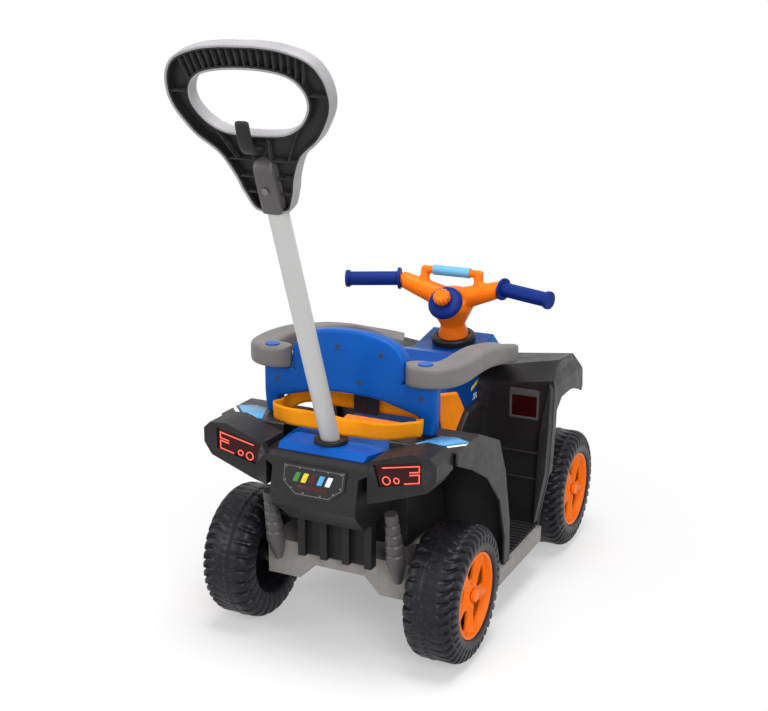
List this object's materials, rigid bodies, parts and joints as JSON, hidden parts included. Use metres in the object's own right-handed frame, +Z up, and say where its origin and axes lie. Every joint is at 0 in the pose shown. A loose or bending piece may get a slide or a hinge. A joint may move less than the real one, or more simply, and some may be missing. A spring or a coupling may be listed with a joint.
{
  "type": "child's push quad bike",
  "caption": "Child's ride-on quad bike with steered front wheels, safety belt, armrests and a lift-out parent push handle.",
  "frame": {"origin": "on the floor, midway along the overall length and width", "axes": "+X to the rider's right, +Y forward, +Z up"},
  "size_m": [0.422, 0.9019, 0.9081],
  "materials": {
    "black_plastic": "satin moulded",
    "wheel_black": "blow-moulded, lightly scuffed",
    "orange_plastic": "semi-gloss moulded",
    "blue_plastic": "semi-gloss moulded",
    "navy_plastic": "satin moulded",
    "sky_plastic": "satin moulded",
    "grey_plastic": "satin moulded",
    "lamp_red": "printed lens plate",
    "lamp_clear": "gloss lens plate",
    "white_tube": "gloss white",
    "steel": "zinc plated",
    "orange_webbing": "woven webbing"
  },
  "bodies": {
    "body": {"chassis_frame": "grey_plastic", "rear_axle": "steel", "rear_axle_bushes": "black_plastic", "rear_axle_caps": "orange_plastic", "foot_mats": "black_plastic", "lower_cowl": "black_plastic", "seat": "orange_plastic", "tank": "blue_plastic", "side_panel_left": "orange_plastic", "side_panel_right": "orange_plastic", "front_fairing": "black_plastic", "headlamps": "lamp_clear", "rear_fairing": "black_plastic", "tail_lamps": "lamp_red", "rear_plate": "black_plastic", "rear_grille": "black_plastic", "rear_damper_left": "black_plastic", "rear_damper_right": "black_plastic", "rear_fender_left": "black_plastic", "rear_fender_right": "black_plastic", "front_fender_left": "black_plastic", "front_fender_right": "black_plastic", "rear_deck": "blue_plastic", "pole_collar": "black_plastic", "pole_socket": "black_plastic", "backrest_front": "blue_plastic", "backrest_back": "blue_plastic", "backrest_screws": "steel", "armrest_left": "grey_plastic", "armrest_right": "grey_plastic", "armrest_plugs": "blue_plastic", "belt": "orange_webbing", "belt_buckle": "black_plastic", "steering_collar": "black_plastic", "kingpins": "steel"},
    "steering": {"handlebar": "orange_plastic", "grip_left": "navy_plastic", "grip_right": "navy_plastic", "crossbar_pad": "sky_plastic", "horn_bezel": "blue_plastic", "steering_column": "steel"},
    "horn": {"horn_button": "orange_plastic"},
    "knuckle_left": {"knuckle_left": "grey_plastic", "front_axle_cap_left": "orange_plastic"},
    "knuckle_right": {"knuckle_right": "grey_plastic", "front_axle_cap_right": "orange_plastic"},
    "tie_link": {"tie_rod": "grey_plastic"},
    "front_wheel_left": {"front_tyre_left": "wheel_black", "front_rim_left": "orange_plastic"},
    "front_wheel_right": {"front_tyre_right": "wheel_black", "front_rim_right": "orange_plastic"},
    "rear_wheel_left": {"rear_tyre_left": "wheel_black", "rear_rim_left": "orange_plastic"},
    "rear_wheel_right": {"rear_tyre_right": "wheel_black", "rear_rim_right": "orange_plastic"},
    "push_handle": {"push_pole": "white_tube", "handle_back_shell": "black_plastic", "handle_front_shell": "grey_plastic", "bag_hook": "black_plastic", "handle_screw": "steel"}
  },
  "joints": [
    {"name": "steering_turn", "type": "hinge", "parent": "body", "child": "steering", "pos_m": [0, 0.243, 0.376], "axis": [0, -0.1736, 0.9848], "range_deg": [-20, 20]},
    {"name": "knuckle_left_turn", "type": "hinge", "parent": "body", "child": "knuckle_left", "pos_m": [-0.128, 0.326, 0.105], "axis": [0, -0.1736, 0.9848], "range_deg": [-20, 20]},
    {"name": "knuckle_right_turn", "type": "hinge", "parent": "body", "child": "knuckle_right", "pos_m": [0.128, 0.326, 0.105], "axis": [0, -0.1736, 0.9848], "range_deg": [-20, 20]},
    {"name": "tie_link_turn", "type": "hinge", "parent": "steering", "child": "tie_link", "pos_m": [0, 0.25456, 0.08012], "axis": [0, -0.1736, 0.9848], "range_deg": [-20, 20]},
    {"name": "horn_press", "type": "slide", "parent": "steering", "child": "horn", "axis": [0, -0.766, 0.6428], "range_m": [-0.004, 0], "stiffness_N_per_m": 400},
    {"name": "front_wheel_left_spin", "type": "hinge", "parent": "knuckle_left", "child": "front_wheel_left", "pos_m": [-0.17, 0.326, 0.105], "axis": [1, 0, 0], "continuous": true},
    {"name": "front_wheel_right_spin", "type": "hinge", "parent": "knuckle_right", "child": "front_wheel_right", "pos_m": [0.17, 0.326, 0.105], "axis": [1, 0, 0], "continuous": true},
    {"name": "rear_wheel_left_spin", "type": "hinge", "parent": "body", "child": "rear_wheel_left", "pos_m": [-0.17, -0.152, 0.105], "axis": [1, 0, 0], "continuous": true},
    {"name": "rear_wheel_right_spin", "type": "hinge", "parent": "body", "child": "rear_wheel_right", "pos_m": [0.17, -0.152, 0.105], "axis": [1, 0, 0], "continuous": true},
    {"name": "push_handle_lift", "type": "slide", "parent": "body", "child": "push_handle", "axis": [0, -0.3665, 0.9304], "range_m": [0, 0.118]}
  ],
  "couplings": [
    {"joint": "knuckle_left_turn", "follows": "steering_turn", "ratio": 1},
    {"joint": "knuckle_right_turn", "follows": "steering_turn", "ratio": 1},
    {"joint": "tie_link_turn", "follows": "steering_turn", "ratio": -1}
  ]
}
